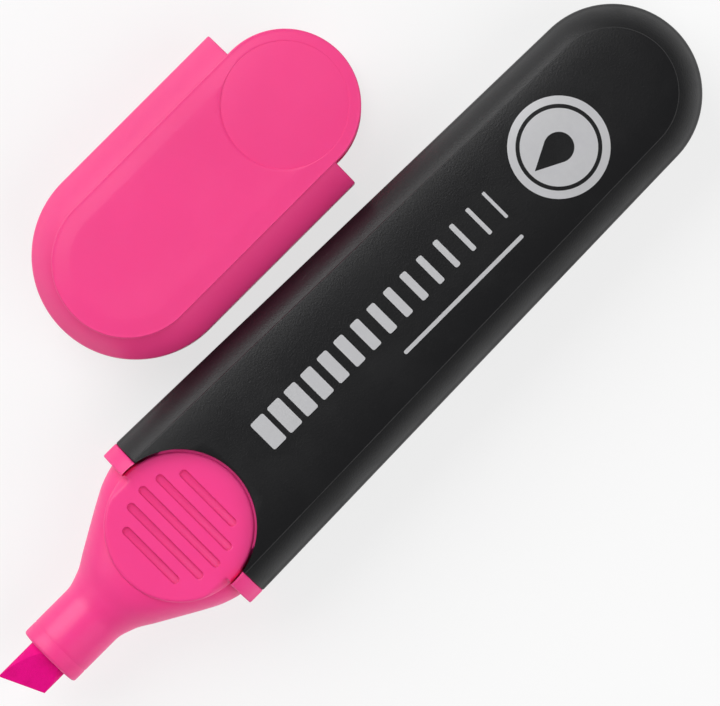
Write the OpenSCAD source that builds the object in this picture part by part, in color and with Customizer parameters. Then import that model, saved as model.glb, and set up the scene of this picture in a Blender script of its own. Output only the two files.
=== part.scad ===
/* [Barrel] */
// Length of the barrel, from its open front edge to its round end
barrel_len = 82.8; // [66:0.1:100]
// Width of barrel, flange and cap where they meet
joint_w = 25; // [22:0.1:31]
// Width of the barrel where its round end starts
rear_w = 21.7; // [18.5:0.1:24]
// Thickness over the two broad faces
thick = 15.5; // [13.8:0.1:20]
// Wall of the barrel
barrel_wall = 1.4; // [1:0.05:1.8]
// Width of the slanted facet beside each broad face of the barrel
barrel_facet = 2.95; // [2:0.05:3.1]
// How far the slanted facets drop from the broad faces
facet_drop = 4.2; // [3:0.1:5]
// Width of the eased band along the edge of each broad face
edge_band = 1; // [0.5:0.1:2]
// How far that band drops
edge_drop = 0.4; // [0.2:0.05:0.6]

/* [Front section] */
// Thickness of the flange that the cap's mouth meets
flange_t = 2.15; // [1.5:0.05:3]
// Diameter of the collar that carries the nib
collar_d = 8.4; // [7.4:0.1:9]
// Length of the collar in front of the shoulder
collar_len = 7.2; // [5:0.1:10]
// Distance from the flange's front to the collar, over which the shoulder flares
shoulder_len = 14.7; // [12:0.1:18]
// Diameter of the shoulder at the flange
shoulder_d = 22; // [19.6:0.1:22]
// Length of the skirt that plugs into the barrel
plug_len = 12; // [9:0.5:20]
// Distance of the pads' centre ahead of the barrel's front edge
pad_ahead = 1.6; // [0.5:0.1:2]
// Number of grip grooves across each pad
groove_count = 5; // [3:1:6]
// Width of a grip groove
groove_w = 0.9; // [0.5:0.1:1.2]
// Depth of a grip groove
groove_depth = 0.35; // [0.2:0.05:0.5]

/* [Ink system] */
// Diameter of the felt nib
nib_d = 5.4; // [4:0.1:6]
// How far the nib's longest corner stands out of the collar
nib_out = 5.95; // [4:0.05:8]
// Length of the chisel's two slanted faces
chisel_len = 4.8; // [3:0.1:6]
// Slant of the writing edge, in degrees
edge_slant = 25; // [15:1:35]
// Thickness of the writing edge
edge_t = 0.8; // [0.5:0.1:1.5]
// Diameter of the fibre reservoir over its film
reservoir_d = 10.2; // [8.5:0.1:10.3]
// Length of the fibre reservoir
reservoir_len = 64; // [50:1:68]
// Wall of the film round the reservoir
film_t = 0.15; // [0.1:0.01:0.3]
// How deep the nib's tail sits in the reservoir
nib_tail = 7; // [4:0.5:12]

/* [Cap] */
// Width of the slanted facet beside each broad face of the cap
cap_facet = 3.35; // [2.7:0.05:5]
// Room for the round closed end, behind the liner's base
cap_nose = 6.6; // [6.2:0.1:10]
// Wall of the cap
cap_wall = 1.4; // [1:0.05:1.6]
// Thickness of the two tongues that cover the finger pads
tongue_t = 1.3; // [0.9:0.05:1.35]
// Width of the rim round the low dome in each tongue
dome_rim = 1.45; // [0.8:0.05:2.5]
// How far the dome's edge lies below the broad face
dome_drop = 0.4; // [0.2:0.05:0.5]
// Wall of the sealing liner
liner_wall = 1.1; // [0.8:0.05:1.5]
// Thickness of the liner's closed base
liner_base_t = 1.5; // [1:0.1:2]
// Free space between the nib's tip and the liner's base
nib_gap = 1.5; // [1:0.1:3]
// Length of collar that the liner grips
liner_grip = 5.6; // [3:0.1:6.5]
// Where the cap lies, behind its place on the pen
cap_off_x = 44.7; // [40:0.1:60]
// Space between the cap and the barrel's widest place, side by side
cap_side_gap = 1.8; // [1:0.1:12]

/* [Ribs and fits] */
// Thickness of the ribs inside barrel and cap
rib_t = 1.2; // [0.8:0.1:2]
// Distance of the barrel's ribs from the middle planes
rib_off = 2.4; // [1.5:0.1:3]
// Clearance between the plug or shoulder and the shell round it
shell_fit = 0.15; // [0.1:0.01:0.25]
// Clearance round a tongue in its recess
tongue_fit = 0.15; // [0.1:0.01:0.3]
// How much smaller a finger pad is than the tongue that covers it
pad_ease = 0.05; // [0:0.01:0.2]
// Clearance round the nib and the reservoir
ink_fit = 0.05; // [0.03:0.01:0.1]
// Clearance between the liner and the collar
liner_fit = 0.1; // [0.05:0.01:0.15]

/* [Print] */
// Thickness of the printed ink
ink_t = 0.03; // [0.02:0.01:0.05]
// Radius of the round badge
badge_r = 6.2; // [4:0.1:6.2]
// Distance of the badge's centre from the barrel's round end
badge_from_end = 20.1; // [17:0.1:26]
// Number of stripes in the printed row
stripe_count = 9; // [4:1:9]
// Distance from one stripe to the next
stripe_pitch = 2.8; // [2.4:0.1:3]
// Height of the stripes, across the barrel
stripe_h = 4.2; // [2:0.1:6]

/* [Hidden] */
$fn = 96;
slab = 0.02;        // thin slice that a hull stretches between
past = 1;           // how far a cut runs past the face that it opens
far = 40;           // larger than half the width or thickness of any piece
flare_steps = 14;   // rings in the shoulder's flare
half_t = thick / 2;
half_w = joint_w / 2;
rear_r = rear_w / 2;
end_x = barrel_len - rear_r;
taper = (half_w - rear_r) / end_x;
pad_z = half_t - max(barrel_wall, cap_wall) - shell_fit;
tongue_r = half_w - cap_facet;
pad_r = tongue_r - pad_ease;
recess_r = tongue_r + tongue_fit;
dome_r = tongue_r - dome_rim;
collar_r = collar_d / 2;
nib_r = nib_d / 2;
reservoir_r = reservoir_d / 2;
collar_x = -flange_t - shoulder_len;
rim_x = collar_x - collar_len;
tip_x = rim_x - nib_out;
reservoir_x = -5;   // front face of the reservoir, inside the shoulder
groove_pitch = 2 * pad_r / (groove_count + 2.5);
mouth_x = -flange_t;
liner_base_x = tip_x - nib_gap;
cap_end_x = liner_base_x - liner_base_t - cap_nose;
liner_mouth_x = rim_x + liner_grip;
liner_in_r = collar_r + liner_fit;
liner_out_r = liner_in_r + liner_wall;
liner_seat_r = half_t - cap_wall - shell_fit;

// The barrel's half width at a distance behind its front edge
function half_w_at(x) = half_w - taper * x;

// Corners lie on whole thousandths of a millimetre, so that neighbouring forms meet exactly
function snap(p) = [for (v = p) round(v * 1000) / 1000];
function outward(a, b) = [b[1] - a[1], a[0] - b[0]] / norm(b - a);

// A quarter of the outline across the pen, from the upright side over the slanted facet
// and the eased band to the flat face. An inset moves every side inwards by as much.
function quarter(hw, facet, inset = 0) =
    let (
        corners = [
            [hw, half_t - facet_drop],
            [hw - facet, half_t - edge_drop],
            [hw - facet - edge_band, half_t]
        ],
        sides = [
            [1, 0],
            outward(corners[0], corners[1]),
            outward(corners[1], corners[2]),
            [0, 1]
        ]
    )
    [for (i = [0:2])
        snap(corners[i] - inset * (sides[i] + sides[i + 1]) / (1 + sides[i] * sides[i + 1]))];

function half_outline(hw, facet, inset) =
    let (q = quarter(hw, facet, inset))
    concat([for (i = [2:-1:0]) [q[i][0], -q[i][1]]], q);

module section(hw, facet, inset = 0) {
    half = half_outline(hw, facet, inset);
    polygon(concat(half, [for (i = [5:-1:0]) [-half[i][0], half[i][1]]]));
}

module half_section(hw, facet, inset = 0) {
    half = half_outline(hw, facet, inset);
    polygon(concat([[0, half[0][1]]], half, [[0, half[5][1]]]));
}

// Stretches a flat outline along the pen, from x0 to x1
module along(x0, x1) {
    translate([x0, 0, 0])
        rotate([90, 0, 90])
            linear_extrude(x1 - x0) children();
}

// Puts a piece of the pen where it lies
module on_pen() {
    translate([-barrel_len / 2, 0, half_t]) children();
}

// Puts a piece of the cap where it lies, taken off and beside the barrel
module on_cap() {
    translate([cap_off_x - barrel_len / 2, joint_w + cap_side_gap, half_t]) children();
}

// Turns a half outline about an upright axis at x, towards the rear (1) or the front (-1)
module round_end(x, way) {
    translate([x, 0, 0])
        rotate([0, 0, -90 * way])
            rotate_extrude(angle = 180) children();
}

// Rod along the pen
module rod(r, x0, x1) {
    translate([x0, 0, 0])
        rotate([0, 90, 0])
            cylinder(r = r, h = x1 - x0);
}

// Tapered body with a round end
module barrel_form(x0, inset = 0) {
    hull() {
        along(x0, x0 + slab) section(half_w_at(x0), barrel_facet, inset);
        along(end_x - slab, end_x) section(rear_r, barrel_facet, inset);
    }
    round_end(end_x, 1) half_section(rear_r, barrel_facet, inset);
}

// Round clearances over both finger pads
module pad_recess() {
    for (side = [0, 1])
        mirror([0, 0, side])
            translate([-pad_ahead, 0, pad_z])
                cylinder(r = recess_r, h = far);
}

// Ribs that hold the reservoir, and stop it at the rear
module barrel_ribs() {
    stop_x = reservoir_x + reservoir_len + ink_fit;
    difference() {
        for (side = [-1, 1]) {
            translate([plug_len + past, side * rib_off - rib_t / 2, -far])
                cube([barrel_len, rib_t, 2 * far]);
            translate([plug_len + past, -far, side * rib_off - rib_t / 2])
                cube([barrel_len, 2 * far, rib_t]);
        }
        rod(reservoir_r + ink_fit, 0, stop_x);
    }
}

module barrel() {
    color([0.09, 0.09, 0.1])
        on_pen()
            difference() {
                barrel_form(0);
                difference() {
                    barrel_form(-past, barrel_wall);
                    barrel_ribs();
                }
                pad_recess();
            }
}

// Half width of the shoulder, s from 0 at the collar to 1 at the flange
function flare(s) = collar_r + (shoulder_d / 2 - collar_r) * (1 - cos(180 * s)) / 2;

module shoulder() {
    flare_points = [for (i = [0:flare_steps])
        [flare(i / flare_steps), collar_x + shoulder_len * i / flare_steps]];
    rotate([0, 90, 0])
        rotate_extrude()
            polygon(concat(
                [[0, rim_x], [collar_r - edge_drop, rim_x], [collar_r, rim_x + edge_drop]],
                flare_points,
                [[0, mouth_x]]
            ));
}

module grip_grooves() {
    first = -(groove_count - 1) / 2;
    for (side = [0, 1])
        mirror([0, 0, side])
            translate([-pad_ahead, 0, pad_z - groove_depth])
                intersection() {
                    cylinder(r = pad_r - groove_pitch, h = far);
                    for (i = [0:groove_count - 1])
                        translate([(first + i) * groove_pitch - groove_w / 2, -far, 0])
                            cube([groove_w, 2 * far, far]);
                }
}

module front_section() {
    cap_inset = cap_wall + shell_fit;
    color([0.91, 0.2, 0.47])
        on_pen()
            difference() {
                union() {
                    difference() {
                        along(mouth_x, 0) section(half_w, barrel_facet);
                        pad_recess();
                    }
                    along(mouth_x, plug_len)
                        section(half_w_at(plug_len), barrel_facet, half_t - pad_z);
                    intersection() {
                        union() {
                            shoulder();
                            translate([-pad_ahead, 0, -pad_z])
                                cylinder(r = pad_r, h = 2 * pad_z);
                        }
                        along(rim_x - past, mouth_x + slab)
                            section(half_w, cap_facet, cap_inset);
                    }
                }
                rod(nib_r + ink_fit, rim_x - past, 0);
                rod(reservoir_r + ink_fit, reservoir_x - ink_fit, plug_len + past);
                grip_grooves();
            }
}

// Wedge with its thin edge at the origin and two slanted faces behind it
module nib_wedge() {
    translate([0, far, 0])
        rotate([90, 0, 0])
            linear_extrude(2 * far)
                polygon([
                    [0, -edge_t / 2],
                    [chisel_len, -nib_r],
                    [2 * far, -nib_r],
                    [2 * far, nib_r],
                    [chisel_len, nib_r],
                    [0, edge_t / 2]
                ]);
}

module nib() {
    color([0.86, 0.06, 0.47])
        on_pen()
            intersection() {
                rod(nib_r, tip_x, reservoir_x + nib_tail);
                translate([tip_x, nib_r, 0])
                    rotate([0, 0, edge_slant]) nib_wedge();
            }
}

module reservoir_core() {
    color([0.93, 0.3, 0.58])
        on_pen()
            difference() {
                rod(reservoir_r - film_t - ink_fit, reservoir_x, reservoir_x + reservoir_len);
                rod(nib_r + ink_fit, reservoir_x - past, reservoir_x + nib_tail + ink_fit);
            }
}

module reservoir_film() {
    color([0.95, 0.85, 0.9])
        on_pen()
            difference() {
                rod(reservoir_r, reservoir_x, reservoir_x + reservoir_len);
                rod(reservoir_r - film_t, reservoir_x - past, reservoir_x + reservoir_len + past);
            }
}

// Round badge with a ring and a drop left open in it
module badge() {
    drop_r = badge_r * 0.3;
    difference() {
        circle(r = badge_r);
        difference() {
            circle(r = badge_r * 0.84);
            circle(r = badge_r * 0.76);
        }
        circle(r = drop_r);
        polygon([
            [-drop_r * 2.2, 0],
            [-drop_r * 0.45, drop_r * 0.89],
            [-drop_r * 0.45, -drop_r * 0.89]
        ]);
    }
}

// Row of stripes that grow narrower, one after the other
module stripes() {
    for (i = [0:stripe_count - 1])
        translate([i * stripe_pitch, -stripe_h / 2])
            square([stripe_pitch * (0.75 - 0.06 * i), stripe_h]);
}

module barrel_print() {
    color([0.72, 0.72, 0.74])
        on_pen()
            translate([0, 0, half_t])
                linear_extrude(ink_t) {
                    translate([barrel_len - badge_from_end, 0]) badge();
                    translate([plug_len + past, stripe_h / 8]) stripes();
                }
}

// Cap's outside, or with an inset its inside
module cap_form(x1, inset = 0) {
    end_c = cap_end_x + half_w;
    along(end_c, x1) section(half_w, cap_facet, inset);
    round_end(end_c, -1) half_section(half_w, cap_facet, inset);
}

// Tongue on one broad face, round at its end
module tongue() {
    intersection() {
        translate([0, 0, half_t - tongue_t])
            linear_extrude(tongue_t) {
                translate([-pad_ahead, 0]) circle(r = tongue_r);
                translate([mouth_x - pad_r, -tongue_r])
                    square([pad_r + flange_t - pad_ahead, 2 * tongue_r]);
            }
        along(mouth_x - far, mouth_x + far) section(half_w, cap_facet);
    }
}

// What is cut away round and over the dome that a fingertip presses
module dome_cut() {
    ball_r = (dome_r * dome_r + dome_drop * dome_drop) / (2 * dome_drop);
    translate([-pad_ahead, 0, 0])
        difference() {
            translate([0, 0, half_t - 2 * dome_drop]) cylinder(r = dome_r, h = far);
            translate([0, 0, half_t - ball_r]) sphere(r = ball_r, $fn = 180);
        }
}

// Ribs between the cap's closed end and the liner
module cap_ribs() {
    seat_x = liner_base_x - liner_base_t - ink_fit;
    for (side = [-1, 1])
        translate([cap_end_x, side * rib_off - rib_t / 2, -far])
            cube([seat_x - cap_end_x, rib_t, 2 * far]);
}

module cap_shell() {
    color([0.95, 0.28, 0.55])
        on_cap()
            difference() {
                union() {
                    difference() {
                        cap_form(mouth_x);
                        difference() {
                            cap_form(mouth_x + past, cap_wall);
                            cap_ribs();
                        }
                    }
                    for (side = [0, 1])
                        mirror([0, 0, side]) tongue();
                }
                for (side = [0, 1])
                    mirror([0, 0, side]) dome_cut();
            }
}

module cap_liner() {
    color([0.97, 0.6, 0.76])
        on_cap()
            difference() {
                union() {
                    rod(liner_out_r, liner_base_x - liner_base_t, liner_mouth_x);
                    rod(liner_seat_r, liner_base_x - liner_base_t, liner_base_x);
                }
                rod(liner_in_r, liner_base_x, liner_mouth_x + past);
            }
}

barrel();
front_section();
nib();
reservoir_core();
reservoir_film();
barrel_print();
cap_shell();
cap_liner();
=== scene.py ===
import math

import bmesh
import bpy
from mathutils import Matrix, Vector


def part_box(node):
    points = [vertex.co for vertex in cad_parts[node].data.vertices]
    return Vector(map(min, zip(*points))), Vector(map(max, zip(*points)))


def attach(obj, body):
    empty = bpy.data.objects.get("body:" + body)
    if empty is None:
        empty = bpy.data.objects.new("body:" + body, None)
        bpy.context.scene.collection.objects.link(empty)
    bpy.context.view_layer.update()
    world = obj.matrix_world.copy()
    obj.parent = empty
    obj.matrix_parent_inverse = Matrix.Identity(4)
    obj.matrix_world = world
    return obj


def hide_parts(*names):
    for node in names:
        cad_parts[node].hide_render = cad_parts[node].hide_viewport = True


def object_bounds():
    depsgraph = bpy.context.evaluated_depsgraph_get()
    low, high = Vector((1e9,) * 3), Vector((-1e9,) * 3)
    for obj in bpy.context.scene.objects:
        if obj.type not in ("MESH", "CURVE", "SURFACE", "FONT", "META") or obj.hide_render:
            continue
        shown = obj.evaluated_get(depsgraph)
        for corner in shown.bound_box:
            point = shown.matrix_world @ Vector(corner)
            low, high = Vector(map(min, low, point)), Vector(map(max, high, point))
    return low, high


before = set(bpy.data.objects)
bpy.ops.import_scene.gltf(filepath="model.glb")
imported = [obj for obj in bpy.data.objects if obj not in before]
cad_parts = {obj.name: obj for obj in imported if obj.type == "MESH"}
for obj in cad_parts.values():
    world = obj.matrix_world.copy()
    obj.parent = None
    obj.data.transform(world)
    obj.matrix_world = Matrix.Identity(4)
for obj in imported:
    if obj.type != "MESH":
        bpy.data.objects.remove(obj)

cad_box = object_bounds()


# ---------------------------------------------------------------------------------------------
# Barrel
# One injection-moulded shell of black plastic, closed and round at the rear. It tapers a little
# towards the rear, its broad faces are crowned, and a round notch in each frees a finger pad.
# ---------------------------------------------------------------------------------------------

MM = 0.001
barrel_low, barrel_high = (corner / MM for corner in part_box("barrel"))
JOINT_X = barrel_low.x
BARREL_LEN = barrel_high.x - barrel_low.x
HALF_W = barrel_high.y
HALF_T = (barrel_high.z - barrel_low.z) / 2
MID_Z = (barrel_high.z + barrel_low.z) / 2
FACET_DROP = 4.2
EDGE_DROP = 0.4
STEP_DROP = 0.3
STEP_Z = HALF_T - EDGE_DROP - STEP_DROP
RIM_R = 0.2

rear_half_w = 10.85
barrel_facet = 2.95
barrel_wall = 1.4
pad_x = -1.6
recess_r = 9.3
recess_lip = 0.24
recess_lip_drop = 0.26
recess_depth = 2.6
step_edge_r = 0.24


def pen_place(x, y, z):
    """A place in the row frame, measured from the barrel's front edge and the pen's axis."""
    return Vector((JOINT_X + x, y, MID_Z + z)) * MM


def arc(centre, radius, start, end, steps):
    """Points round an arc, with its angles in degrees."""
    turns = [math.radians(start + (end - start) * i / steps) for i in range(steps + 1)]
    return [(centre[0] + radius * math.cos(t), centre[1] + radius * math.sin(t)) for t in turns]


def flank(half_w, plateau, bulge=0.32, corner_r=1.1):
    """Outline from the middle of the upright side to the foot of the step by the broad face."""
    side_z = HALF_T - FACET_DROP
    slope = math.atan2(STEP_Z - side_z, half_w - plateau)
    tangent = corner_r * math.tan((math.pi / 2 - slope) / 2)
    points = [(half_w, (side_z - tangent) * share) for share in (0, 0.45, 0.9)]
    turn = 90 - math.degrees(slope)
    points += arc((half_w - corner_r, side_z - tangent), corner_r, 0, turn, 6)
    foot = points[-1]
    for i in range(1, 9):
        t = i / 8
        swell = 4 * bulge * t * (1 - t)
        y = foot[0] + (plateau - foot[0]) * t + swell * math.sin(slope)
        z = foot[1] + (STEP_Z - foot[1]) * t + swell * math.cos(slope)
        points.append((y, z))
    return points


def crown_drop(share):
    """How far the broad face has dropped at a share of its half width."""
    return 0.05 * share ** 2 + (EDGE_DROP - 0.05) * share ** 4


def broad_face(plateau, shares):
    """Crowned lines from near the edge of the broad face to its middle."""
    return [(plateau * s, HALF_T - crown_drop(s)) for s in shares]


def moved_in(points, wall):
    """The same outline moved inwards by a wall, without folding over itself."""
    moved = []
    for i, (y, z) in enumerate(points):
        before = points[max(i - 1, 0)]
        after = points[min(i + 1, len(points) - 1)]
        dy, dz = after[0] - before[0], after[1] - before[1]
        length = math.hypot(dy, dz)
        y_in, z_in = y - wall * dz / length, z + wall * dy / length
        if i == 0:
            y_in, z_in = y - wall, 0.0
        else:
            y_in, z_in = min(y_in, moved[-1][0] - 0.004), max(z_in, moved[-1][1] + 0.004)
        moved.append((max(y_in, 0.0), min(z_in, HALF_T - wall - 0.004 * (len(points) - i))))
    moved[-1] = (0.0, moved[-1][1])
    return moved


def both_faces(upper):
    """An outline from the middle of the lower face, round the side, to that of the upper one."""
    return [(y, -z) for y, z in reversed(upper)] + upper[1:]


def u_row(front, back, x_open, x_round, stations, arc_steps):
    """One line along a side, round the closed end and back along the other side."""
    way = 1 if x_round > x_open else -1
    out = []
    for s in stations:
        x = x_open + (x_round - x_open) * s
        out.append((x, front[0] + (back[0] - front[0]) * s, front[1]))
    turned = []
    for i in range(1, arc_steps):
        t = math.pi * i / arc_steps
        turned.append((x_round + way * back[0] * math.sin(t), back[0] * math.cos(t), front[1]))
    return out + turned + [(x, -y, z) for x, y, z in reversed(out)]


def rim_row(outer, inner, x_open, way):
    """Round edge of the open end, from the outside of the wall to its inside."""
    run = math.hypot(outer[0] - inner[0], outer[1] - inner[1])
    ny, nz = (outer[0] - inner[0]) / run, (outer[1] - inner[1]) / run
    row = []
    for turn in (60, 30, 0):
        along = RIM_R * (1 - math.cos(math.radians(turn)))
        down = RIM_R * (1 - math.sin(math.radians(turn)))
        row.append((x_open + way * along, outer[0] - ny * down, outer[1] - nz * down))
    return row


def shell_rows(front, back, front_in, back_in, x_open, x_round, stations, arc_steps):
    """Closed loops of places: outside, rim, inside and rim again, one for each line."""
    way = 1 if x_round > x_open else -1
    rows = []
    for a, b, a_in, b_in in zip(front, back, front_in, back_in):
        outside = u_row(a, b, x_open + way * RIM_R, x_round, stations, arc_steps)
        inside = u_row(a_in, b_in, x_open, x_round, stations, arc_steps)
        rim = rim_row(a, a_in, x_open, way)
        far_rim = [(x, -y, z) for x, y, z in rim]
        rows.append(outside + far_rim + inside[::-1] + rim[::-1])
    return rows


def add_rows(bm, rows, place, loop=True):
    """Quads between neighbouring rows of places."""
    grid = [[bm.verts.new(place(*p)) for p in row] for row in rows]
    count = len(rows[0])
    for low, high in zip(grid, grid[1:]):
        for i in range(count if loop else count - 1):
            k = (i + 1) % count
            bm.faces.new((low[i], low[k], high[k], high[i]))
    return grid


def closed(bm):
    """Welds places that coincide and turns every face outwards."""
    bmesh.ops.remove_doubles(bm, verts=bm.verts, dist=0.002 * MM)
    bmesh.ops.dissolve_degenerate(bm, edges=bm.edges, dist=0.0005 * MM)
    bmesh.ops.recalc_face_normals(bm, faces=bm.faces)


def new_piece(name, bm):
    """Turns a finished bmesh into an object in the scene."""
    mesh = bpy.data.meshes.new(name)
    bm.to_mesh(mesh)
    bm.free()
    piece = bpy.data.objects.new(name, mesh)
    bpy.context.scene.collection.objects.link(piece)
    return piece


def joined(piece, tool, operation, finish=0):
    """Adds a tool's solid to the piece, or cuts it away, and removes the tool.

    The faces that the tool leaves take the piece's material of that number."""
    while len(piece.data.materials) <= finish:
        piece.data.materials.append(None)
    while len(tool.data.materials) <= finish:
        tool.data.materials.append(None)
    for face in tool.data.polygons:
        face.material_index = finish
    step = piece.modifiers.new("cut", "BOOLEAN")
    step.object = tool
    step.operation = operation
    step.solver = "EXACT"
    depsgraph = bpy.context.evaluated_depsgraph_get()
    mesh = bpy.data.meshes.new_from_object(piece.evaluated_get(depsgraph))
    piece.modifiers.clear()
    old = piece.data
    piece.data = mesh
    mesh.name = piece.name
    bpy.data.meshes.remove(old)
    bpy.data.objects.remove(tool)
    return piece


def smoothed(piece, crease=32.0):
    """Smooth faces, with a hard edge wherever two faces meet at more than the crease angle."""
    bm = bmesh.new()
    bm.from_mesh(piece.data)
    bmesh.ops.remove_doubles(bm, verts=bm.verts, dist=0.001 * MM)
    bmesh.ops.recalc_face_normals(bm, faces=bm.faces)
    for face in bm.faces:
        face.smooth = True
    limit = math.radians(crease)
    for edge in bm.edges:
        edge.smooth = len(edge.link_faces) == 2 and edge.calc_face_angle(0.0) < limit
    bm.to_mesh(piece.data)
    bm.free()
    return piece


def turned_piece(name, outline, place, steps=128):
    """Closed solid turned from a half outline of (distance from the axis, height) points."""
    bm = bmesh.new()
    rows = []
    for i in range(steps):
        t = 2 * math.pi * i / steps
        rows.append([(r * math.cos(t), r * math.sin(t), h) for r, h in outline])
    add_rows(bm, rows + rows[:1], place, loop=False)
    closed(bm)
    return new_piece(name, bm)


def fitted(piece, body, slot, material, *nodes):
    """Gives the finished piece its material and its CAD body, and hides the CAD nodes that it stands for.
    """
    if not piece.data.materials:
        piece.data.materials.append(material)
    piece.data.materials[0] = material
    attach(piece, body)
    if nodes:
        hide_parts(*nodes)
    return piece


def node_group(name, inputs, outputs):
    """An empty shader group with named values going in and out."""
    group = bpy.data.node_groups.new(name, "ShaderNodeTree")
    for label, default in inputs.items():
        socket = group.interface.new_socket(label, in_out="INPUT", socket_type="NodeSocketFloat")
        socket.default_value = default
    for label in outputs:
        group.interface.new_socket(label, in_out="OUTPUT", socket_type="NodeSocketFloat")
    start = group.nodes.new("NodeGroupInput")
    end = group.nodes.new("NodeGroupOutput")
    return group, start, end


def new_node(tree, kind, values=(), **settings):
    """A node with its settings, and with values for its inputs by name or number."""
    node = tree.nodes.new(kind)
    for key, value in settings.items():
        setattr(node, key, value)
    for key, value in dict(values).items():
        node.inputs[key].default_value = value
    return node


def make_grain_group():
    """Fine spark-eroded grain of a mould, with slow waves in gloss and colour."""
    group, start, end = node_group(
        "mould_grain",
        {"Grains per metre": 5200.0, "Waves per metre": 55.0},
        ["Height", "Gloss", "Tone"],
    )
    link = group.links.new
    place = new_node(group, "ShaderNodeTexCoord")
    fine = new_node(group, "ShaderNodeTexNoise", {"Detail": 3.0, "Roughness": 0.6})
    pits = new_node(group, "ShaderNodeTexVoronoi")
    slow = new_node(group, "ShaderNodeTexNoise", {"Detail": 4.0, "Roughness": 0.55})
    blend = new_node(group, "ShaderNodeMix", {"Factor": 0.35}, data_type="FLOAT")
    gloss = new_node(group, "ShaderNodeMapRange", {1: 0.35, 2: 0.65, 3: 0.0, 4: 1.0})
    tone = new_node(group, "ShaderNodeMapRange", {1: 0.3, 2: 0.7, 3: 0.0, 4: 1.0})
    for texture in (fine, pits):
        link(place.outputs["Object"], texture.inputs["Vector"])
        link(start.outputs["Grains per metre"], texture.inputs["Scale"])
    link(place.outputs["Object"], slow.inputs["Vector"])
    link(start.outputs["Waves per metre"], slow.inputs["Scale"])
    link(fine.outputs[0], blend.inputs[2])
    link(pits.outputs["Distance"], blend.inputs[3])
    link(slow.outputs[0], gloss.inputs[0])
    link(slow.outputs[0], tone.inputs[0])
    link(blend.outputs[0], end.inputs["Height"])
    link(gloss.outputs[0], end.inputs["Gloss"])
    link(tone.outputs[0], end.inputs["Tone"])
    return group


def make_handling_group():
    """Hair scratches and dull smudges that fingers and a pencil case leave."""
    group, start, end = node_group(
        "handling_marks",
        {"Scratches per metre": 120.0, "Smudges per metre": 160.0},
        ["Scratches", "Smudges"],
    )
    link = group.links.new
    place = new_node(group, "ShaderNodeTexCoord")
    lean = new_node(group, "ShaderNodeMapping")
    lean.inputs["Rotation"].default_value = (0.3, 0.2, 0.7)
    lean.inputs["Scale"].default_value = (1.0, 14.0, 6.0)
    hairs = new_node(group, "ShaderNodeTexNoise", {"Detail": 6.0, "Roughness": 0.75})
    thin = new_node(group, "ShaderNodeMapRange", {1: 0.66, 2: 0.72, 3: 0.0, 4: 1.0})
    smears = new_node(group, "ShaderNodeTexNoise", {"Detail": 5.0, "Roughness": 0.6})
    soft = new_node(group, "ShaderNodeMapRange", {1: 0.48, 2: 0.72, 3: 0.0, 4: 1.0})
    link(place.outputs["Object"], lean.inputs["Vector"])
    link(lean.outputs[0], hairs.inputs["Vector"])
    link(start.outputs["Scratches per metre"], hairs.inputs["Scale"])
    link(place.outputs["Object"], smears.inputs["Vector"])
    link(start.outputs["Smudges per metre"], smears.inputs["Scale"])
    link(hairs.outputs[0], thin.inputs[0])
    link(smears.outputs[0], soft.inputs[0])
    link(thin.outputs[0], end.inputs["Scratches"])
    link(soft.outputs[0], end.inputs["Smudges"])
    return group


grain_group = make_grain_group()
handling_group = make_handling_group()


def linear(red, green, blue):
    """A screen colour of 0 to 255 as the linear colour that a shader takes."""
    def one(level):
        level /= 255
        return level / 12.92 if level <= 0.04045 else ((level + 0.055) / 1.055) ** 2.4
    return (one(red), one(green), one(blue), 1.0)


def new_material(name):
    """A material with its node tree, its shader and the tree's link function."""
    material = bpy.data.materials.new(name)
    material.use_nodes = True
    tree = material.node_tree
    return material, tree, tree.nodes["Principled BSDF"], tree.links.new


def placed_group(tree, group, **values):
    """A shared group set into a material, with this material's own values."""
    node = new_node(tree, "ShaderNodeGroup", node_tree=group)
    for label, value in values.items():
        node.inputs[label.replace("_", " ")].default_value = value
    return node


def moulded_plastic(name, colour, shade, gloss, dull, grain, depth):
    """Solid-coloured plastic: two close tones, gloss that wanders, a fine grain and scratches."""
    material, tree, shader, link = new_material(name)
    skin = placed_group(tree, grain_group, Grains_per_metre=grain)
    wear = placed_group(tree, handling_group)
    tone = new_node(tree, "ShaderNodeMix", data_type="RGBA")
    tone.inputs[6].default_value = colour
    tone.inputs[7].default_value = shade
    rough = new_node(tree, "ShaderNodeMapRange", {1: 0.0, 2: 1.0, 3: gloss, 4: dull})
    marked = new_node(tree, "ShaderNodeMath", {1: 0.10}, operation="MULTIPLY_ADD")
    hairs = new_node(tree, "ShaderNodeMath", {1: -0.5}, operation="MULTIPLY_ADD")
    bump = new_node(tree, "ShaderNodeBump", {"Strength": 0.5, "Distance": depth * MM})
    link(skin.outputs["Tone"], tone.inputs[0])
    link(tone.outputs[2], shader.inputs["Base Color"])
    link(skin.outputs["Gloss"], rough.inputs[0])
    link(wear.outputs["Smudges"], marked.inputs[0])
    link(rough.outputs[0], marked.inputs[2])
    link(marked.outputs[0], shader.inputs["Roughness"])
    link(wear.outputs["Scratches"], hairs.inputs[0])
    link(skin.outputs["Height"], hairs.inputs[2])
    link(hairs.outputs[0], bump.inputs["Height"])
    link(bump.outputs[0], shader.inputs["Normal"])
    return material, shader


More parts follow.
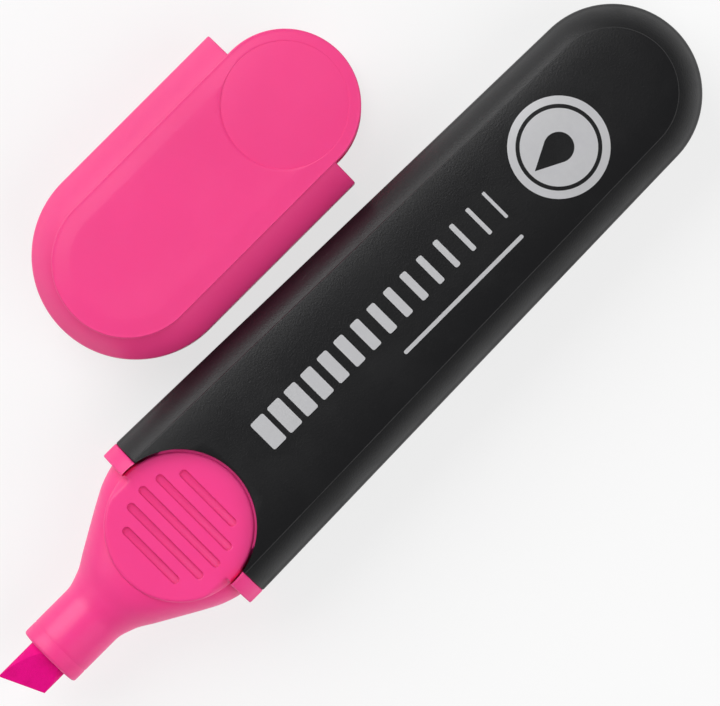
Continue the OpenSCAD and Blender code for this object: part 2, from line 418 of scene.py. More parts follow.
def recess_tool():
    """Cutters for both notches: a round hole whose edge opens out into a small rounding."""
    lip_z = HALF_T - recess_lip_drop
    floor_z, above_z = HALF_T - recess_depth, HALF_T + 4
    outline = [(0, floor_z), (recess_r, floor_z), (recess_r, lip_z)]
    for turn in (20, 40, 60, 80):
        a = math.radians(turn)
        outline.append((recess_r + recess_lip - recess_lip * math.cos(a), lip_z + recess_lip * math.sin(a)))
    outline += [(recess_r + recess_lip, HALF_T), (recess_r + recess_lip, above_z), (0, above_z)]
    upper = turned_piece("notch_top", outline, lambda x, y, z: pen_place(pad_x + x, y, z), 136)
    lower = turned_piece("notch_low", outline, lambda x, y, z: pen_place(pad_x + x, y, -z), 136)
    return upper, lower


BARREL_SHARES = [0.985, 0.965, 0.94, 0.91, 0.87, 0.82, 0.76, 0.69, 0.61, 0.52, 0.42, 0.31,
                 0.2, 0.1, 0.0]


def step_edge(plateau):
    """Rounded edge at the top of the small step round the broad face."""
    return arc((plateau - step_edge_r, STEP_Z + STEP_DROP - step_edge_r), step_edge_r, 0, 70, 4)


def barrel_outline(half_w):
    plateau = half_w - barrel_facet
    upper = flank(half_w, plateau) + step_edge(plateau)
    return upper + broad_face(plateau, BARREL_SHARES)


def make_barrel():
    """Outside and inside walls in one skin, joined by the rounded rim, with both notches cut."""
    round_x = BARREL_LEN - rear_half_w
    front = barrel_outline(HALF_W)
    back = barrel_outline(rear_half_w)
    front_in, back_in = moved_in(front, barrel_wall), moved_in(back, barrel_wall)
    stations = [0, 0.004, 0.012] + [0.03 + 0.97 * i / 36 for i in range(37)]
    rows = shell_rows(
        both_faces(front), both_faces(back), both_faces(front_in), both_faces(back_in),
        0, round_x, stations, 56,
    )
    bm = bmesh.new()
    add_rows(bm, rows, pen_place)
    closed(bm)
    piece = new_piece("barrel_shell", bm)
    for tool in recess_tool():
        joined(piece, tool, "DIFFERENCE")
    return smoothed(piece)


barrel_plastic, barrel_shader = moulded_plastic(
    "black_barrel_plastic", linear(18, 18, 20), linear(12, 12, 14), 0.38, 0.46, 4600.0, 0.06)
barrel_shader.inputs["Specular IOR Level"].default_value = 0.45
fitted(make_barrel(), "pen", "barrel_plastic", barrel_plastic, "barrel")


# ---------------------------------------------------------------------------------------------
# Print on the barrel
# A thin layer of silver ink, pad-printed on one broad face after moulding: a row of stripes that
# grow thinner, a fine rule below them, and a round badge with a ring and an ink drop left open.
# ---------------------------------------------------------------------------------------------

print_low, print_high = (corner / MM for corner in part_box("barrel_print"))
INK_T = 0.03
badge_r = print_high.y
badge_x = print_high.x - JOINT_X - badge_r
stripes_x = print_low.x - JOINT_X
stripe_count = 15
stripe_pitch = 2.8
stripe_h = 4.2
stripe_y = stripe_h / 8
rule_len = 20.0
rule_h = 0.5
rule_y = -4.4


def barrel_top(x, y):
    """Height of the crowned face above the pen's axis."""
    taper = (HALF_W - rear_half_w) / (BARREL_LEN - rear_half_w)
    share = abs(y) / (HALF_W - taper * x - barrel_facet)
    return HALF_T - crown_drop(share)


def ink_rows(bm, rows, loop):
    """A patch of ink that follows the crowned face and has its own thickness."""
    def layer(lift):
        return [[(x, y, barrel_top(x, y) + lift) for x, y in row] for row in rows]
    top, under = layer(INK_T), layer(-0.02)
    add_rows(bm, top, pen_place, loop)
    add_rows(bm, [row[::-1] for row in under], pen_place, loop)
    if loop:
        add_rows(bm, [under[0], top[0]], pen_place, loop)
        add_rows(bm, [top[-1], under[-1]], pen_place, loop)
        return
    sides = [[row[0] for row in top], [row[-1] for row in top], top[0], top[-1]]
    feet = [[row[0] for row in under], [row[-1] for row in under], under[0], under[-1]]
    for side, foot in zip(sides, feet):
        add_rows(bm, [side, foot], pen_place, loop)


def ink_bar(bm, x0, y0, width, height, corner=0.25):
    """A bar with rounded corners, as rows across it."""
    rows = []
    ends = [(corner * (1 - math.cos(math.radians(t))), corner * (1 - math.sin(math.radians(t))))
            for t in (0, 30, 60, 90)]
    across = ends + [(width / 2, 0.0)]
    across += [(width - along, cut) for along, cut in reversed(ends)]
    for along, cut in across:
        rows.append([(x0 + along, y0 + cut + (height - 2 * cut) * i / 8) for i in range(9)])
    ink_rows(bm, rows, False)


def make_print():
    """Stripes, rule and badge as patches of ink; the drop is where the badge's disc is left open."""
    bm = bmesh.new()
    for i in range(stripe_count):
        width = stripe_pitch * (0.75 - 0.6 * i / (stripe_count - 1))
        ink_bar(bm, stripes_x + i * stripe_pitch, stripe_y - stripe_h / 2, width, stripe_h,
                min(0.25, width / 3))
    rule_x = stripes_x + (stripe_count - 1) * stripe_pitch - rule_len
    ink_bar(bm, rule_x, rule_y - rule_h / 2, rule_len, rule_h, 0.2)
    turns = [2 * math.pi * i / 144 for i in range(144)]
    drop_r = 0.3 * badge_r
    lean = math.acos(1 / 2.2)

    def ring(radius):
        return [(badge_x + radius(t) * math.cos(t), radius(t) * math.sin(t)) for t in turns]

    def drop(t):
        return drop_r / math.cos(max(0.0, lean - abs(t - math.pi)))

    inner, outer = 0.76 * badge_r, 0.84 * badge_r
    ink_rows(bm, [ring(lambda t, s=s: drop(t) + (inner - drop(t)) * s / 8)
                  for s in range(9)], True)
    ink_rows(bm, [ring(lambda t, s=s: outer + (badge_r - outer) * s / 3)
                  for s in range(4)], True)
    closed(bm)
    return smoothed(new_piece("silver_print", bm))


def make_ink():
    """Silver ink: part metal flake, part binder, with a slightly uneven film."""
    material, tree, shader, link = new_material("silver_ink")
    skin = placed_group(tree, grain_group, Grains_per_metre=9000.0, Waves_per_metre=240.0)
    tone = new_node(tree, "ShaderNodeMix", data_type="RGBA")
    tone.inputs[6].default_value = linear(226, 226, 228)
    tone.inputs[7].default_value = linear(212, 212, 215)
    rough = new_node(tree, "ShaderNodeMapRange", {1: 0.0, 2: 1.0, 3: 0.38, 4: 0.48})
    bump = new_node(tree, "ShaderNodeBump", {"Strength": 0.35, "Distance": 0.01 * MM})
    link(skin.outputs["Tone"], tone.inputs[0])
    link(tone.outputs[2], shader.inputs["Base Color"])
    link(skin.outputs["Gloss"], rough.inputs[0])
    link(rough.outputs[0], shader.inputs["Roughness"])
    link(skin.outputs["Height"], bump.inputs["Height"])
    link(bump.outputs[0], shader.inputs["Normal"])
    shader.inputs["Metallic"].default_value = 0.55
    return material


fitted(make_print(), "pen", "silver_ink", make_ink(), "barrel_print")


# ---------------------------------------------------------------------------------------------
# Front section
# One pink moulding that snaps into the barrel: the round collar round the nib, the shoulder that
# flares from round to flat, the flange that stops the cap, a grip pad on each face, and the plug.
# ---------------------------------------------------------------------------------------------

front_low, front_high = (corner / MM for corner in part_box("front_section"))
nib_low, nib_high = (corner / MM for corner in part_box("nib"))
film_low, film_high = (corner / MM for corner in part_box("reservoir_film"))
FLANGE_T = 2.15
MOUTH_X = -FLANGE_T
rim_x = front_low.x - JOINT_X
plug_end_x = front_high.x - JOINT_X
collar_r = 4.2
collar_end_x = rim_x + 7.2
nib_r = nib_high.y
nib_bore_r = nib_r + 0.06
reservoir_r = film_high.y
reservoir_x = film_low.x - JOINT_X
PAD_R = 9.1
PAD_Z = HALF_T - 1.55
groove_count = 5
groove_pitch = 2 * PAD_R / (groove_count + 2.5)
groove_w = 1.0
groove_depth = 0.35
cap_facet_y = 8.1
cap_facet_z = 6.27
cap_facet_slope = 1.134
pad_blend = 0.004
plug_half_w = HALF_W - 0.276 - 1.55
plug_plateau = plug_half_w - 2.6


def smooth_curve(points, x):
    """Height at x of a smooth curve through the points, with no overshoot between them."""
    slopes = [(b[1] - a[1]) / (b[0] - a[0]) for a, b in zip(points, points[1:])]
    tangents = [0.0]
    for before, after in zip(slopes, slopes[1:]):
        both = before + after
        tangents.append(2 * before * after / both if before * after > 0 else 0.0)
    tangents.append(slopes[-1] * 0.5)
    for i, (a, b) in enumerate(zip(points, points[1:])):
        if x <= b[0]:
            run = b[0] - a[0]
            t = min(max((x - a[0]) / run, 0.0), 1.0)
            start = (1 + 2 * t) * (1 - t) ** 2 * a[1] + t * (1 - t) ** 2 * run * tangents[i]
            end = t * t * (3 - 2 * t) * b[1] - t * t * (1 - t) * run * tangents[i + 1]
            return start + end
    return points[-1][1]


SHOULDER = [(collar_end_x, collar_r), (-14.4, 4.85), (-12.0, 6.2), (-9.2, 7.8), (-6.8, 9.15),
            (-4.4, 10.35), (MOUTH_X, 11.0)]


def shoulder_ring(x, half_w, steps=96):
    """Section of the shoulder: round at the collar and flatter as it widens."""
    flat = HALF_T - 1.5
    half_h = (half_w ** -6 + flat ** -6) ** (-1 / 6)
    spread = min(max((half_w - collar_r) / (11.0 - collar_r), 0.0), 1.0)
    power = 2 / (2 + 0.9 * spread)
    ring = []
    for i in range(steps):
        t = 2 * math.pi * i / steps
        c, s = math.cos(t), math.sin(t)
        ring.append((x, half_w * math.copysign(abs(c) ** power, c),
                     half_h * math.copysign(abs(s) ** power, s)))
    return ring


def capped_rows(bm, rows, place):
    """Closed solid through rows of places, its first and last row filled."""
    grid = add_rows(bm, rows, place)
    bm.faces.new(grid[0][::-1])
    bm.faces.new(grid[-1])
    closed(bm)


def make_shoulder():
    """Collar with a rounded rim and a hair-thin ring line, then the shoulder that flares out."""
    rim = 0.38
    rows = []
    for turn in (0, 22, 45, 68, 90):
        a = math.radians(turn)
        rows.append(shoulder_ring(rim_x + rim * (1 - math.sin(a)), collar_r - rim * (1 - math.cos(a))))
    rows = rows[::-1]
    groove_x = rim_x + 1.9
    for step, dip in ((-0.16, 0), (-0.08, 0.035), (0, 0.05), (0.08, 0.035), (0.16, 0)):
        rows.append(shoulder_ring(groove_x + step, collar_r - dip))
    rows += [shoulder_ring(groove_x + 0.6 + 0.6 * i, collar_r) for i in range(8)]
    count = 44
    for i in range(count + 1):
        x = collar_end_x + (MOUTH_X + 0.6 - collar_end_x) * i / count
        rows.append(shoulder_ring(x, smooth_curve(SHOULDER, x)))
    bm = bmesh.new()
    capped_rows(bm, rows, pen_place)
    return new_piece("front_section_body", bm)


def full_ring(upper):
    """A closed outline across the pen from its upper right quarter."""
    right = both_faces(upper)
    return right + [(-y, z) for y, z in reversed(right)]


def make_slab(name, quarter, x0, x1, edge):
    """Slab across the pen with rounded edges; its outline is drawn in towards the middle."""
    ring = full_ring(quarter)

    def drawn_in(x, inset):
        return [(x, y - math.copysign(min(inset, abs(y)), y),
                 z - math.copysign(min(inset, abs(z)), z)) for y, z in ring]

    rows = []
    for turn in (0, 30, 60, 90):
        a = math.radians(turn)
        rows.append(drawn_in(x0 + edge * (1 - math.sin(a)), edge * (1 - math.cos(a))))
    rows = rows[::-1] if rows[0][0][0] > rows[-1][0][0] else rows
    rows += [[(x0 + x1 - x, y, z) for x, y, z in row] for row in rows[::-1]]
    bm = bmesh.new()
    capped_rows(bm, rows, pen_place)
    return new_piece(name, bm)


def pad_top(x, y):
    """Height of the pad's flat top, eased off where the cap's facets pass over it."""
    if x + pad_x > MOUTH_X:
        return PAD_Z
    room = cap_facet_z - cap_facet_slope * (abs(y) - cap_facet_y)
    gap = room - PAD_Z
    return PAD_Z + (gap - math.sqrt(gap * gap + pad_blend)) / 2


def make_pad():
    """Both finger pads as one disc through the pen, with rounded edges."""
    edge = 0.4
    turns = [2 * math.pi * i / 180 for i in range(180)]
    drops = [((PAD_R - edge) * i / 40, 0.0) for i in range(1, 41)]
    for t in (math.radians(d) for d in (15, 30, 45, 60, 75, 90)):
        drops.append((PAD_R - edge * (1 - math.sin(t)), edge * (1 - math.cos(t))))
    top = []
    for r, drop in drops:
        ring = [(r * math.cos(t), r * math.sin(t)) for t in turns]
        top.append([(pad_x + x, y, pad_top(x, y) - drop) for x, y in ring])
    low = [[(x, y, -z) for x, y, z in row] for row in top[::-1]]
    bm = bmesh.new()
    capped_rows(bm, top + low, pen_place)
    return new_piece("pads", bm)


def groove_ring(x, span, draft, z):
    """Outline of a groove with round ends, drawn in by its draft."""
    r = groove_w / 2 - draft
    ring = []
    for end in (1, -1):
        for i in range(13):
            t = math.pi * i / 12
            ring.append((x + end * r * math.cos(t), end * (span - groove_w / 2 + r * math.sin(t)), z))
    return ring


def make_grooves():
    """All the grip grooves of both pads, as one tool."""
    bm = bmesh.new()
    floor = PAD_Z - groove_depth
    levels = [(0.16, floor), (0.06, floor + 0.05), (0.0, PAD_Z - 0.06), (-0.03, PAD_Z - 0.02),
              (-0.1, PAD_Z + 0.03), (-0.1, PAD_Z + 0.6)]
    for side in (1, -1):
        for i in range(groove_count):
            x = (i - (groove_count - 1) / 2) * groove_pitch
            span = math.sqrt((PAD_R - groove_pitch) ** 2 - x * x)
            rows = [groove_ring(pad_x + x, span, draft, side * z) for draft, z in levels]
            capped_rows(bm, rows, pen_place)
    return new_piece("grooves", bm)


def make_bore():
    """Stepped bore for the nib and for the front of the reservoir."""
    outline = [(0, rim_x - 3), (nib_bore_r + 0.35, rim_x - 3), (nib_bore_r + 0.35, rim_x - 0.02),
               (nib_bore_r + 0.12, rim_x + 0.14), (nib_bore_r, rim_x + 0.4),
               (nib_bore_r, reservoir_x - 0.05), (reservoir_r + 0.05, reservoir_x - 0.05),
               (reservoir_r + 0.05, plug_end_x + 2), (0, plug_end_x + 2)]
    return turned_piece("bore", outline, lambda x, y, z: pen_place(z, x, y), 96)


def make_front_section():
    """Shoulder, flange, plug and pads as one moulding, then its bore and its grip grooves."""
    plateau = HALF_W - barrel_facet
    flange_outline = flank(HALF_W, plateau) + step_edge(plateau)
    flange_outline += broad_face(plateau, [0.96, 0.9, 0.8, 0.6, 0.4, 0.2, 0.0])
    flange = make_slab("front_section_flange", flange_outline, MOUTH_X, 0.0, 0.18)
    for tool in recess_tool():
        joined(flange, tool, "DIFFERENCE")
    plug_outline = [(plug_half_w, z) for z in (0, 1.2, 2.4)]
    plug_outline += [(plug_plateau + 2.2, 3.4), (plug_plateau + 0.3, PAD_Z - 0.5),
                     (plug_plateau, PAD_Z - 0.2)]
    plug_outline += [(plug_plateau * s, PAD_Z - 0.16) for s in (0.97, 0.7, 0.4, 0.0)]
    plug = make_slab("plug", plug_outline, -1.2, plug_end_x, 0.4)
    body = make_shoulder()
    joined(body, flange, "UNION")
    joined(body, plug, "UNION")
    joined(body, make_pad(), "UNION")
    joined(body, make_bore(), "DIFFERENCE")
    joined(body, make_grooves(), "DIFFERENCE", 1)
    body.name = "front_section_moulding"
    return smoothed(body, 38.0)


def pink_plastic(name, colour, shade, gloss, dull, depth):
    """Moulded plastic that lets a little light into its surface."""
    material, shader = moulded_plastic(name, colour, shade, gloss, dull, 4200.0, depth)
    shader.inputs["Subsurface Weight"].default_value = 0.12
    shader.inputs["Subsurface Radius"].default_value = (1.0, 0.25, 0.4)
    shader.inputs["Subsurface Scale"].default_value = 0.8 * MM
    return material


front_plastic = pink_plastic("pink_front_plastic", linear(249, 64, 144), linear(244, 58, 138),
                             0.34, 0.44, 0.02)
# The grip grooves take a darker pink than the rest of the moulding: painted shade for the recess. Their
# rougher finish is the real texture of the groove floors.
groove_painted_shade_plastic = pink_plastic("pink_groove_painted_shade", linear(236, 56, 132), linear(228, 50, 126),
                              0.5, 0.6, 0.03)
front_section = fitted(make_front_section(), "pen", "front_plastic", front_plastic, "front_section")
# The groove faces get the darker pink with its painted shade.
front_section.data.materials[1] = groove_painted_shade_plastic


# ---------------------------------------------------------------------------------------------
# Nib
# A rod of bonded felt, ground to a slanted chisel and soaked with ink. It is pushed into the
# collar from the front until its tail sits in the reservoir.
# ---------------------------------------------------------------------------------------------

tip_x = nib_low.x - JOINT_X
nib_tail_x = nib_high.x - JOINT_X
CHISEL_LEN = 4.8
EDGE_T = 0.8
EDGE_SLANT = math.radians(25)


def make_nib():
    """A round rod with its slanted end and both sides of its chisel ground off."""
    bm = bmesh.new()
    steps = [tip_x - 0.5 + (nib_tail_x - tip_x + 0.5) * i / 60 for i in range(61)]
    rows = []
    for x in steps:
        rows.append([(x, nib_r * math.cos(t), nib_r * math.sin(t))
                     for t in (2 * math.pi * i / 72 for i in range(72))])
    capped_rows(bm, rows, pen_place)
    corner = pen_place(tip_x, nib_r, 0)
    back = Vector((math.cos(EDGE_SLANT), math.sin(EDGE_SLANT), 0))
    grind = math.atan2(nib_r - EDGE_T / 2, CHISEL_LEN)
    cuts = [(corner, -back)]
    for side in (1, -1):
        normal = Vector((0, 0, side)) * math.cos(grind) - back * math.sin(grind)
        cuts.append((corner + Vector((0, 0, side * EDGE_T / 2 * MM)), normal))
    for place, normal in cuts:
        found = bmesh.ops.bisect_plane(
            bm, geom=bm.verts[:] + bm.edges[:] + bm.faces[:], dist=1e-7,
            plane_co=place, plane_no=normal, clear_outer=True)
        rim = [e for e in found["geom_cut"] if isinstance(e, bmesh.types.BMEdge)]
        bmesh.ops.holes_fill(bm, edges=rim, sides=0)
    bmesh.ops.remove_doubles(bm, verts=bm.verts, dist=0.003 * MM)
    bmesh.ops.recalc_face_normals(bm, faces=bm.faces)
    hard = [e for e in bm.edges if e.calc_face_angle(0.0) > math.radians(12)
            and (e.verts[0].co.x < pen_place(rim_x, 0, 0).x)]
    bmesh.ops.bevel(bm, geom=hard, offset=0.16 * MM, segments=3, affect="EDGES",
                    profile=0.6, clamp_overlap=True)
    return smoothed(new_piece("chisel_nib", bm), 50.0)


def make_felt():
    """Bonded felt: fibres along the rod, wet dark patches and a matt, slightly hairy surface."""
    material, tree, shader, link = new_material("inked_felt")
    place = new_node(tree, "ShaderNodeTexCoord")
    along = new_node(tree, "ShaderNodeMapping")
    along.inputs["Scale"].default_value = (0.16, 1.0, 1.0)
    fibres = new_node(tree, "ShaderNodeTexNoise",
                      {"Scale": 7000.0, "Detail": 5.0, "Roughness": 0.7})
    wet = new_node(tree, "ShaderNodeTexNoise", {"Scale": 420.0, "Detail": 3.0})
    tone = new_node(tree, "ShaderNodeMix", data_type="RGBA")
    tone.inputs[6].default_value = linear(222, 6, 120)
    tone.inputs[7].default_value = linear(252, 14, 150)
    damp = new_node(tree, "ShaderNodeMix", data_type="RGBA", blend_type="MULTIPLY")
    damp.inputs[7].default_value = (0.84, 0.6, 0.76, 1.0)
    share = new_node(tree, "ShaderNodeMapRange", {1: 0.45, 2: 0.7, 3: 0.0, 4: 0.8})
    rough = new_node(tree, "ShaderNodeMapRange", {1: 0.3, 2: 0.7, 3: 0.62, 4: 0.95})
    bump = new_node(tree, "ShaderNodeBump", {"Strength": 0.8, "Distance": 0.06 * MM})
    link(place.outputs["Object"], along.inputs["Vector"])
    link(along.outputs[0], fibres.inputs["Vector"])
    link(place.outputs["Object"], wet.inputs["Vector"])
    link(fibres.outputs[0], tone.inputs[0])
    link(wet.outputs[0], share.inputs[0])
    link(share.outputs[0], damp.inputs[0])
    link(tone.outputs[2], damp.inputs[6])
    link(damp.outputs[2], shader.inputs["Base Color"])
    link(fibres.outputs[0], rough.inputs[0])
    link(rough.outputs[0], shader.inputs["Roughness"])
    link(fibres.outputs[0], bump.inputs["Height"])
    link(bump.outputs[0], shader.inputs["Normal"])
    shader.inputs["Specular IOR Level"].default_value = 0.12
    return material


felt = make_felt()
fitted(make_nib(), "pen", "nib_felt", felt, "nib")


# ---------------------------------------------------------------------------------------------
# Ink reservoir
# A bundle of fibres that holds the ink, in a sleeve of thin clear film. It slides into the
# barrel's ribs before the front section closes them in, so only its CAD solids are needed.
# ---------------------------------------------------------------------------------------------

def make_film():
    """Thin clear film with small wrinkles."""
    material, tree, shader, link = new_material("clear_film")
    skin = placed_group(tree, grain_group, Grains_per_metre=1500.0, Waves_per_metre=300.0)
    rough = new_node(tree, "ShaderNodeMapRange", {1: 0.0, 2: 1.0, 3: 0.12, 4: 0.25})
    bump = new_node(tree, "ShaderNodeBump", {"Strength": 0.3, "Distance": 0.02 * MM})
    link(skin.outputs["Gloss"], rough.inputs[0])
    link(rough.outputs[0], shader.inputs["Roughness"])
    link(skin.outputs["Height"], bump.inputs["Height"])
    link(bump.outputs[0], shader.inputs["Normal"])
    shader.inputs["Base Color"].default_value = linear(246, 232, 240)
    shader.inputs["Alpha"].default_value = 0.4
    return material


for node, material in (("reservoir_core", felt), ("reservoir_film", make_film())):
    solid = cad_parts[node]
    solid.data.materials.clear()
    solid.data.materials.append(material)


# ---------------------------------------------------------------------------------------------
# Cap shell
# A pink moulding, closed and round at one end. A raised plate on each broad face runs on past
# the mouth as a round tongue that covers the finger pad, with a low dome for a fingertip.
# ---------------------------------------------------------------------------------------------

cap_low, cap_high = (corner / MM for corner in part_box("cap_shell"))
CAP_SHIFT = Vector(((cap_high.x - JOINT_X) - (pad_x + PAD_R + 0.05), (cap_low.y + cap_high.y) / 2, 0))
cap_end_x = cap_low.x - JOINT_X - CAP_SHIFT.x
cap_wall = 1.4
cap_plateau = PAD_R + 0.05
tongue_t = 1.3
dome_r = cap_plateau - 1.45
dome_drop = 0.32
plate_top = HALF_T - 0.14
band_w = 2.25
band_drop = 0.29
band_blend = 0.012
plate_crown = 0.04


def cap_place(x, y, z):
    """A place on the cap, measured as if it were on the pen, moved to where the cap lies."""
    return pen_place(x + CAP_SHIFT.x, y + CAP_SHIFT.y, z)


def make_cap_body():
    """The cap without its raised plates."""
    shares = [0.96, 0.9, 0.8, 0.7, 0.6, 0.5, 0.4, 0.3, 0.2, 0.1, 0.0]
    line = flank(HALF_W, cap_plateau, bulge=0.2) + [(cap_plateau * s, STEP_Z) for s in shares]
    line_in = moved_in(line, cap_wall)
    stations = [0, 0.012, 0.04] + [0.1 + 0.9 * i / 22 for i in range(23)]
    loops = shell_rows(both_faces(line), both_faces(line), both_faces(line_in),
                       both_faces(line_in), MOUTH_X, cap_end_x + HALF_W, stations, 64)
    bm = bmesh.new()
    add_rows(bm, loops, cap_place)
    closed(bm)
    return new_piece("cap_moulding", bm)


def plate_height(share):
    """Height of the raised plate: nearly flat, with a slanted band along its edge."""
    band = band_w / cap_plateau
    past = (share - 1 + band) / band
    fall = (past + math.sqrt(past * past + band_blend)) / 2
    return plate_top - plate_crown * share ** 2 - band_drop * fall


def make_plate(side):
    """Raised plate with its tongue: closed loops from the middle of its top to that below."""
    shares = [0.0, 0.1, 0.25, 0.4, 0.52, 0.61, 0.67, 0.71, 0.735, 0.755, 0.775, 0.8, 0.835,
              0.87, 0.91, 0.945, 0.965]
    line = [(cap_plateau * s, plate_height(s)) for s in shares]
    edge = arc((cap_plateau - step_edge_r, STEP_Z + STEP_DROP - step_edge_r), step_edge_r, 70, 0, 4)
    under = HALF_T - tongue_t
    line += edge + [(cap_plateau, STEP_Z - 0.1), (cap_plateau, under + 0.2)]
    line += [(cap_plateau - 0.06, under + 0.06), (cap_plateau - 0.2, under)]
    line += [(cap_plateau * s, under) for s in (0.9, 0.7, 0.5, 0.3, 0.1, 0.0)]
    back_x, front_x = cap_end_x + 2.2 + cap_plateau, pad_x
    rows = []
    for y, z in line:
        loop = [(back_x + (front_x - back_x) * i / 24, y) for i in range(24)]
        loop += [(front_x + y * math.sin(t), y * math.cos(t))
                 for t in (math.pi * i / 72 for i in range(73))]
        loop += [(front_x + (back_x - front_x) * i / 24, -y) for i in range(1, 24)]
        loop += [(back_x - y * math.sin(t), -y * math.cos(t))
                 for t in (math.pi * i / 72 for i in range(72))]
        rows.append([(x, y2, side * z) for x, y2 in loop])
    bm = bmesh.new()
    add_rows(bm, rows, cap_place)
    closed(bm)
    return new_piece("plate", bm)


def dome_tool(side):
    """What is cut away over the low dome for the fingertip, with a rounded rim beside it."""
    peak = HALF_T
    outline = []
    for i in range(25):
        r = (dome_r - 0.1) * i / 24
        outline.append((r, peak - dome_drop * (r / dome_r) ** 2.4))
    foot = outline[-1][1]
    outline += [(dome_r - 0.02, foot - 0.01), (dome_r + 0.01, foot + 0.03),
                (dome_r + 0.05, plate_top - 0.13), (dome_r + 0.12, plate_top - 0.06),
                (dome_r + 0.26, plate_top - 0.02), (dome_r + 0.5, plate_top + 0.02),
                (dome_r + 0.5, peak + 2), (0, peak + 2)]
    return turned_piece("dome_room", outline,
                        lambda x, y, z: cap_place(pad_x + x, y, side * z), 160)


def dome_stock(side):
    """Plain disc that stands higher than the dome that is then cut from it."""
    r, low, high = dome_r - 0.3, HALF_T - tongue_t + 0.3, HALF_T + 0.3
    outline = [(0, low), (r, low), (r, high), (0, high)]
    return turned_piece("dome_stock", outline,
                        lambda x, y, z: cap_place(pad_x + x, y, side * z), 96)


def make_cap():
    """The body, then a plate on each face with the dome already cut into its tongue."""
    cap = make_cap_body()
    for side in (1, -1):
        plate = joined(make_plate(side), dome_stock(side), "UNION")
        joined(plate, dome_tool(side), "DIFFERENCE")
        joined(cap, plate, "UNION")
    return smoothed(cap)


cap_plastic = pink_plastic("pink_cap_plastic", linear(245, 68, 140), linear(239, 62, 134),
                           0.34, 0.44, 0.02)
fitted(make_cap(), "cap", "cap_plastic", cap_plastic, "cap_shell")


# ---------------------------------------------------------------------------------------------
# Cap liner
# A cup of softer, paler plastic inside the cap. It grips the collar when the cap is on and keeps
# the nib from drying out. It is pushed in against the ribs in the cap's closed end.
# ---------------------------------------------------------------------------------------------

liner_low, liner_high = (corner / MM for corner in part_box("cap_liner"))
liner_back_x = liner_low.x - JOINT_X - CAP_SHIFT.x
liner_mouth_x = liner_high.x - JOINT_X - CAP_SHIFT.x
liner_seat_r = (liner_high.y - liner_low.y) / 2
LINER_IN_R = collar_r + 0.1
LINER_OUT_R = LINER_IN_R + 1.1
LINER_BASE_T = 1.5


def make_liner():
    """Thin cup with a wide foot, and rounded lips where the collar goes in."""
    back, base = liner_back_x, liner_back_x + LINER_BASE_T
    mouth = liner_mouth_x
    outline = [(0, back), (liner_seat_r - 0.25, back), (liner_seat_r, back + 0.25),
               (liner_seat_r, base - 0.25), (liner_seat_r - 0.25, base), (LINER_OUT_R + 0.2, base),
               (LINER_OUT_R, base + 0.2), (LINER_OUT_R, mouth - 0.5),
               (LINER_OUT_R - 0.12, mouth - 0.12), (LINER_OUT_R - 0.4, mouth),
               (LINER_IN_R + 0.4, mouth), (LINER_IN_R + 0.12, mouth - 0.15),
               (LINER_IN_R, mouth - 0.6), (LINER_IN_R, base + 0.5), (LINER_IN_R - 0.15, base + 0.15),
               (LINER_IN_R - 0.5, base), (0, base)]
    piece = turned_piece("sealing_liner", outline, lambda x, y, z: cap_place(z, x, y), 96)
    return smoothed(piece)


liner_plastic = pink_plastic("pale_liner_plastic", linear(245, 150, 190), linear(240, 140, 182),
                             0.4, 0.5, 0.015)
fitted(make_liner(), "cap", "liner_plastic", liner_plastic, "cap_liner")


# ---------------------------------------------------------------------------------------------
# Table, light and camera
# A pale table under a soft overhead light. One large lamp stands on the cap's side, a weaker one
# opposite, and the camera looks straight down with the pen lying from corner to corner.
# ---------------------------------------------------------------------------------------------

def make_table():
    """Pale table that keeps the object's shadow."""
    bm = bmesh.new()
    bmesh.ops.create_grid(bm, x_segments=4, y_segments=4, size=3.0)
    table = new_piece("table", bm)
    table.location.z = cad_box[0][2] - 0.0001
    material, tree, shader, link = new_material("pale_table")
    shader.inputs["Base Color"].default_value = (0.86, 0.86, 0.86, 1.0)
    shader.inputs["Roughness"].default_value = 0.7
    glow = new_node(tree, "ShaderNodeEmission", {"Color": (1, 1, 1, 1), "Strength": 1.0})
    seen = new_node(tree, "ShaderNodeLightPath")
    glossy = new_node(tree, "ShaderNodeMath", operation="MAXIMUM")
    either = new_node(tree, "ShaderNodeMath", operation="MAXIMUM")
    share = new_node(tree, "ShaderNodeMath", {1: 0.72}, operation="MULTIPLY")
    mix = new_node(tree, "ShaderNodeMixShader")
    link(seen.outputs["Is Camera Ray"], glossy.inputs[0])
    link(seen.outputs["Is Glossy Ray"], glossy.inputs[1])
    link(glossy.outputs[0], either.inputs[0])
    link(seen.outputs["Is Transmission Ray"], either.inputs[1])
    link(either.outputs[0], share.inputs[0])
    link(share.outputs[0], mix.inputs[0])
    link(shader.outputs[0], mix.inputs[1])
    link(glow.outputs[0], mix.inputs[2])
    link(mix.outputs[0], tree.nodes["Material Output"].inputs["Surface"])
    table.data.materials.append(material)


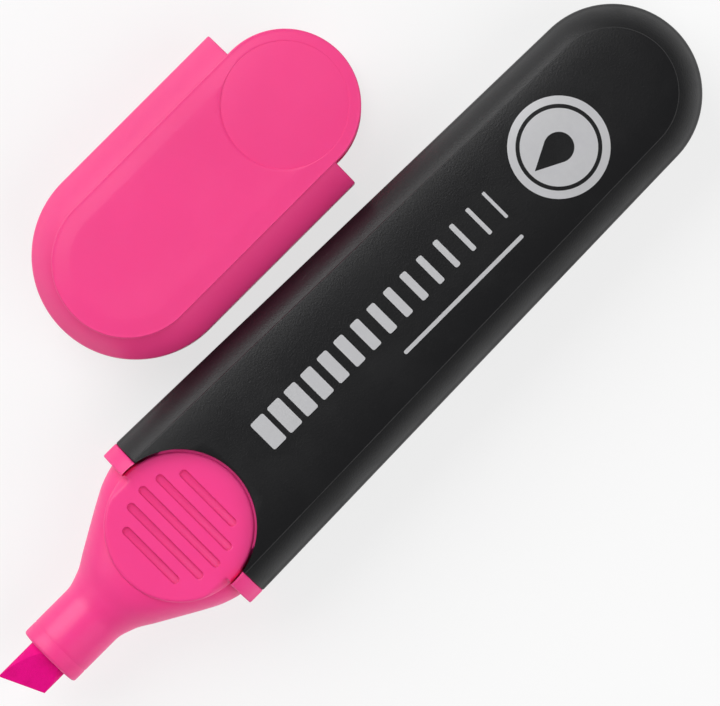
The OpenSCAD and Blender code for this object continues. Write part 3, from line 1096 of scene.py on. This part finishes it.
def add_lamp(name, place, aim, size, power, reflected=True):
    """A round soft lamp, aimed at a place on the table."""
    lamp = bpy.data.lights.new(name, "AREA")
    lamp.shape = "DISK"
    lamp.size = size
    lamp.energy = power
    holder = bpy.data.objects.new(name, lamp)
    holder.location = place
    holder.rotation_mode = "QUATERNION"
    holder.rotation_quaternion = (Vector(aim) - Vector(place)).to_track_quat("-Z", "Y")
    holder.visible_glossy = reflected
    bpy.context.scene.collection.objects.link(holder)


def make_world():
    """Plain studio air: dim overhead and paler towards the horizon."""
    world = bpy.data.worlds.new("studio")
    world.use_nodes = True
    tree = world.node_tree
    link = tree.links.new
    plain = tree.nodes["Background"]
    plain.inputs["Color"].default_value = (1, 1, 1, 1)
    way = new_node(tree, "ShaderNodeTexCoord")
    parts = new_node(tree, "ShaderNodeSeparateXYZ")
    level = new_node(tree, "ShaderNodeMapRange", {1: 0.0, 2: 1.0, 3: 0.3, 4: 0.1})
    link(way.outputs["Generated"], parts.inputs[0])
    link(parts.outputs["Z"], level.inputs[0])
    link(level.outputs[0], plain.inputs["Strength"])
    seen = new_node(tree, "ShaderNodeLightPath")
    white = new_node(tree, "ShaderNodeBackground", {"Color": (1, 1, 1, 1), "Strength": 1.0})
    mix = new_node(tree, "ShaderNodeMixShader")
    link(seen.outputs["Is Camera Ray"], mix.inputs[0])
    link(plain.outputs[0], mix.inputs[1])
    link(white.outputs[0], mix.inputs[2])
    link(mix.outputs[0], tree.nodes["World Output"].inputs["Surface"])
    bpy.context.scene.world = world


make_table()
make_world()
add_lamp("key_lamp", (-0.05, 0.56, 0.5), (0, 0.01, 0), 0.8, 5.2)
add_lamp("fill_lamp", (0.1, -0.46, 0.5), (0, 0, 0), 0.8, 3.2, reflected=False)

PICTURE_CENTRE = (-0.01295, -0.00058)
PICTURE_W = 0.0862
LENS = 400.0
SENSOR = 36.0


def make_camera():
    """A long lens far above the pen, so that it is seen almost without perspective."""
    data = bpy.data.cameras.new("camera")
    data.lens = LENS
    data.sensor_width = SENSOR
    camera = bpy.data.objects.new("camera", data)
    top_z = barrel_high.z * MM
    camera.location = (*PICTURE_CENTRE, top_z + LENS / SENSOR * PICTURE_W)
    camera.rotation_euler = (0, 0, math.radians(-45))
    data.clip_start = 0.01
    data.clip_end = 10.0
    bpy.context.scene.collection.objects.link(camera)
    bpy.context.scene.camera = camera


make_camera()
bpy.context.scene.view_settings.view_transform = "Standard"
